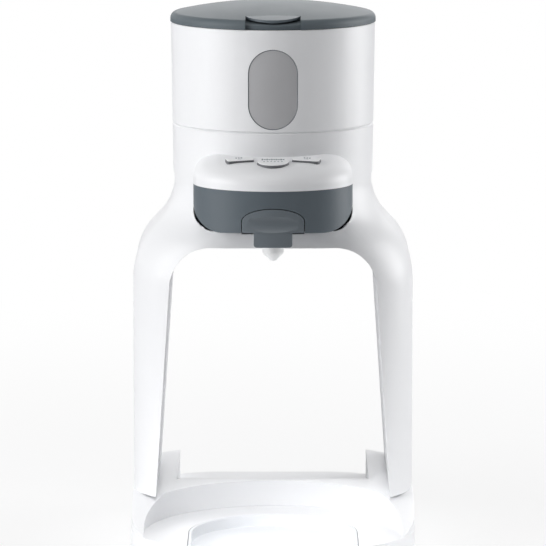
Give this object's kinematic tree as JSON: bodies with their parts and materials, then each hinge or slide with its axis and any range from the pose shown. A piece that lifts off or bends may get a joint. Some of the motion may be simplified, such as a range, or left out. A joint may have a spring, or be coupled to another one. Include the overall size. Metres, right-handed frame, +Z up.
{
  "type": "baby formula maker",
  "caption": "Machine that doses milk powder and warm water into a bottle: white arch body over a drip tray, drum hopper with grey lid, control head with funnel and nozzle, rear water tank.",
  "frame": {"origin": "on the floor below the drum's axis, which is the middle of the footprint", "axes": "+Z up, front with nozzle and keys towards -Y, +X to the right seen from the front as a viewer faces the machine's back"},
  "size_m": [0.173, 0.244, 0.334],
  "materials": {
    "shell_white": "glossy white",
    "base_white": "satin white",
    "tray_grey": "fine satin, pale grey",
    "lid_grey": "satin blue-grey",
    "head_grey": "satin grey",
    "funnel_grey": "satin mid grey",
    "window_grey": "frosted grey",
    "nozzle_clear": "translucent",
    "tank_clear": "translucent grey",
    "key_white": "satin white",
    "inner_plastic": "matt",
    "dark_plastic": "matt black",
    "soft_grey": "soft matt",
    "soft_clear": "silicone",
    "foot_rubber": "matt",
    "steel": "plain steel",
    "heater_metal": "cast aluminium",
    "board_green": "solder mask",
    "contact_brass": "bright"
  },
  "bodies": {
    "machine": {"base_shell": "base_white", "base_plate": "inner_plastic", "base_screws": "steel", "rubber_feet": "foot_rubber", "dish_surround": "base_white", "arch_front": "shell_white", "arch_rear": "shell_white", "control_housing": "shell_white", "dispenser_housing": "head_grey", "head_gasket": "soft_grey", "button_board": "board_green", "tact_switches": "dark_plastic", "powder_chute": "inner_plastic", "water_outlet": "inner_plastic", "dosing_motor": "steel", "motor_bracket": "steel", "inner_frame": "dark_plastic", "pump": "dark_plastic", "heater_block": "heater_metal", "flow_meter": "inner_plastic", "inlet_hose": "soft_clear", "pump_hose": "soft_clear", "heater_hose": "soft_clear", "outlet_hose": "soft_clear", "main_board": "board_green", "power_board": "board_green", "power_inlet": "dark_plastic", "inlet_contacts": "contact_brass", "tank_dock": "base_white", "dock_seal": "soft_clear"},
    "hopper": {"hopper_shell": "shell_white", "window_pane": "window_grey", "hopper_cup": "inner_plastic", "hopper_base": "inner_plastic", "lid_hinge_pin": "steel"},
    "lid": {"lid_cover": "lid_grey", "lid_tab": "head_grey", "lid_seal": "soft_clear"},
    "wheel": {"dosing_wheel": "inner_plastic", "agitator": "soft_grey"},
    "coupler": {"drive_coupler": "dark_plastic"},
    "funnel": {"mixing_funnel": "funnel_grey", "pull_tongue": "funnel_grey", "nozzle": "nozzle_clear"},
    "start_key": {"start_button": "key_white"},
    "left_key": {"left_button": "key_white"},
    "right_key": {"right_button": "key_white"},
    "tray": {"drip_tray": "tray_grey"},
    "tank": {"water_tank": "tank_clear", "tank_lid_pin": "steel", "valve_cage": "inner_plastic", "valve_spring": "steel"},
    "tank_cover": {"tank_lid": "lid_grey"},
    "valve": {"tank_valve": "inner_plastic"},
    "impeller": {"pump_impeller": "inner_plastic"}
  },
  "joints": [
    {"name": "hopper_lift", "type": "slide", "parent": "machine", "child": "hopper", "axis": [0, 0, 1], "range_m": [0, 0.08]},
    {"name": "lid_hinge", "type": "hinge", "parent": "hopper", "child": "lid", "pos_m": [0, 0.066, 0.3216], "axis": [-1, 0, 0], "range_deg": [0, 95]},
    {"name": "wheel_spin", "type": "hinge", "parent": "hopper", "child": "wheel", "pos_m": [0, 0, 0.264], "axis": [0, 0, 1], "continuous": true},
    {"name": "coupler_spin", "type": "hinge", "parent": "machine", "child": "coupler", "pos_m": [0, 0, 0.256], "axis": [0, 0, 1], "continuous": true},
    {"name": "funnel_slide", "type": "slide", "parent": "machine", "child": "funnel", "axis": [0, -1, 0], "range_m": [0, 0.06]},
    {"name": "start_press", "type": "slide", "parent": "machine", "child": "start_key", "axis": [0, 0.1219, -0.9925], "range_m": [0, 0.0008], "stiffness_N_per_m": 800, "springref_m": -0.0006},
    {"name": "left_press", "type": "slide", "parent": "machine", "child": "left_key", "axis": [0, 0.1219, -0.9925], "range_m": [0, 0.0008], "stiffness_N_per_m": 800, "springref_m": -0.0006},
    {"name": "right_press", "type": "slide", "parent": "machine", "child": "right_key", "axis": [0, 0.1219, -0.9925], "range_m": [0, 0.0008], "stiffness_N_per_m": 800, "springref_m": -0.0006},
    {"name": "tray_lift", "type": "slide", "parent": "machine", "child": "tray", "axis": [0, 0, 1], "range_m": [0, 0.04]},
    {"name": "tank_lift", "type": "slide", "parent": "machine", "child": "tank", "axis": [0, 0, 1], "range_m": [0, 0.07]},
    {"name": "tank_lid_hinge", "type": "hinge", "parent": "tank", "child": "tank_cover", "pos_m": [0, 0.1192, 0.3121], "axis": [-1, 0, 0], "range_deg": [0, 80]},
    {"name": "valve_lift", "type": "slide", "parent": "tank", "child": "valve", "axis": [0, 0, 1], "range_m": [0, 0.003], "stiffness_N_per_m": 200, "springref_m": -0.003, "deforming": ["valve_spring"]},
    {"name": "impeller_spin", "type": "hinge", "parent": "machine", "child": "impeller", "pos_m": [-0.022, 0.026, 0.208], "axis": [0, 1, 0], "continuous": true}
  ],
  "couplings": [
    {"joint": "coupler_spin", "follows": "wheel_spin", "ratio": 1}
  ]
}
